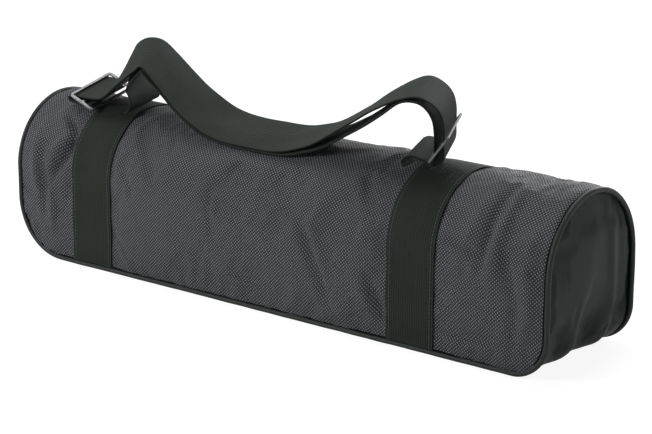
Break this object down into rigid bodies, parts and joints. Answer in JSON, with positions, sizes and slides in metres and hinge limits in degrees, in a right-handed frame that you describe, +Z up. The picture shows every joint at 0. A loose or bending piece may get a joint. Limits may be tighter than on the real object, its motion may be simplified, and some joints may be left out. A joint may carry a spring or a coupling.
{
  "type": "telescope carry case",
  "caption": "Long padded soft case with an arched top, piped edges, a zipped lid in its back, webbing bands and a doubled carry strap.",
  "frame": {"origin": "middle of the base, on the plane that the case stands on", "axes": "+X along the case, -Y out of the front face, +Z up"},
  "size_m": [0.6146, 0.1392, 0.2214],
  "materials": {
    "ballistic_weave": "coarse bright-pointed weave",
    "plain_cloth": "smooth, faint sheen",
    "webbing_black": "ribbed",
    "piping_black": "satin",
    "lining_grey": "smooth",
    "foam": "closed-cell foam, matt",
    "zip_nylon": "semi-matt",
    "zip_metal": "satin black",
    "adjuster_metal": "worn satin nickel"
  },
  "bodies": {
    "case": {"wrap_panel": "ballistic_weave", "end_base_panel": "plain_cloth", "wrap_foam": "foam", "base_foam": "foam", "end_foam_left": "foam", "end_foam_right": "foam", "wrap_lining": "lining_grey", "end_base_lining": "lining_grey", "piping": "piping_black", "zip_tape_body": "zip_nylon", "zip_coil_body": "zip_nylon", "zip_stops": "zip_metal", "band_left": "webbing_black", "band_right": "webbing_black", "strap_upper": "webbing_black", "strap_lower": "webbing_black"},
    "lid": {"lid_panel": "ballistic_weave", "lid_foam": "foam", "lid_lining": "lining_grey", "zip_coil_lid": "zip_nylon", "zip_tape_lid": "zip_nylon", "lid_band_left": "webbing_black", "lid_band_right": "webbing_black"},
    "slider_left": {"zip_slider_left": "zip_metal"},
    "slider_right": {"zip_slider_right": "zip_metal"},
    "pull_left": {"zip_pull_left": "zip_metal"},
    "pull_right": {"zip_pull_right": "zip_metal"},
    "strap_adjuster_left": {"adjuster_left": "adjuster_metal"},
    "strap_adjuster_right": {"adjuster_right": "adjuster_metal"}
  },
  "joints": [
    {"name": "lid_hinge", "type": "hinge", "parent": "case", "child": "lid", "pos_m": [0, 0.03127, 0.1438], "axis": [1, 0, 0], "range_deg": [0, 100]},
    {"name": "zip_run_left", "type": "slide", "parent": "case", "child": "slider_left", "axis": [-1, 0, 0], "range_m": [0, 0.23]},
    {"name": "zip_run_right", "type": "slide", "parent": "case", "child": "slider_right", "axis": [1, 0, 0], "range_m": [0, 0.23]},
    {"name": "pull_swing_left", "type": "hinge", "parent": "slider_left", "child": "pull_left", "pos_m": [-0.0065, 0.0701, 0.0208], "axis": [0, 0, -1], "range_deg": [0, 160]},
    {"name": "pull_swing_right", "type": "hinge", "parent": "slider_right", "child": "pull_right", "pos_m": [0.0065, 0.0701, 0.0208], "axis": [0, 0, 1], "range_deg": [0, 160]},
    {"name": "adjuster_slide_left", "type": "slide", "parent": "case", "child": "strap_adjuster_left", "axis": [-1, 0, 0], "range_m": [-0.002, 0.006]},
    {"name": "adjuster_slide_right", "type": "slide", "parent": "case", "child": "strap_adjuster_right", "axis": [0, 0, 1], "range_m": [0, 0.008]}
  ]
}
